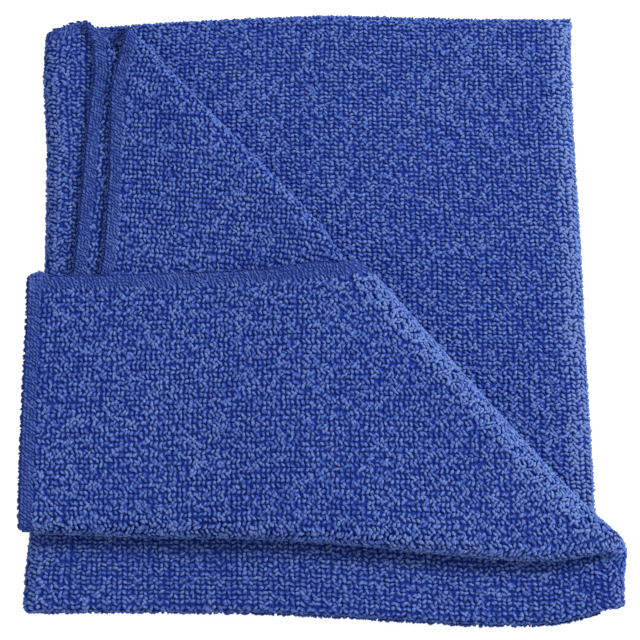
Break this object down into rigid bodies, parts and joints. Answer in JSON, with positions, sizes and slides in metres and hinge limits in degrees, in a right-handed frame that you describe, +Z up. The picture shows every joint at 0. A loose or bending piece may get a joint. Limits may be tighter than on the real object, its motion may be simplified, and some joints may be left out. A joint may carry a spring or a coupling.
{
  "type": "microfibre cloth",
  "caption": "Folded square-cornered cleaning cloth: one sheet of soft looped knit with overlocked edges, doubled, folded over and turned back along a diagonal.",
  "frame": {"origin": "centre of the bounding box at the surface the cloth rests on", "axes": "+X to the right, +Y towards the back hems, +Z up"},
  "size_m": [0.1648, 0.1798, 0.0189],
  "materials": {
    "cloth": "soft blue terry loops, matt"
  },
  "bodies": {
    "root": {"cloth": "cloth"}
  },
  "joints": []
}
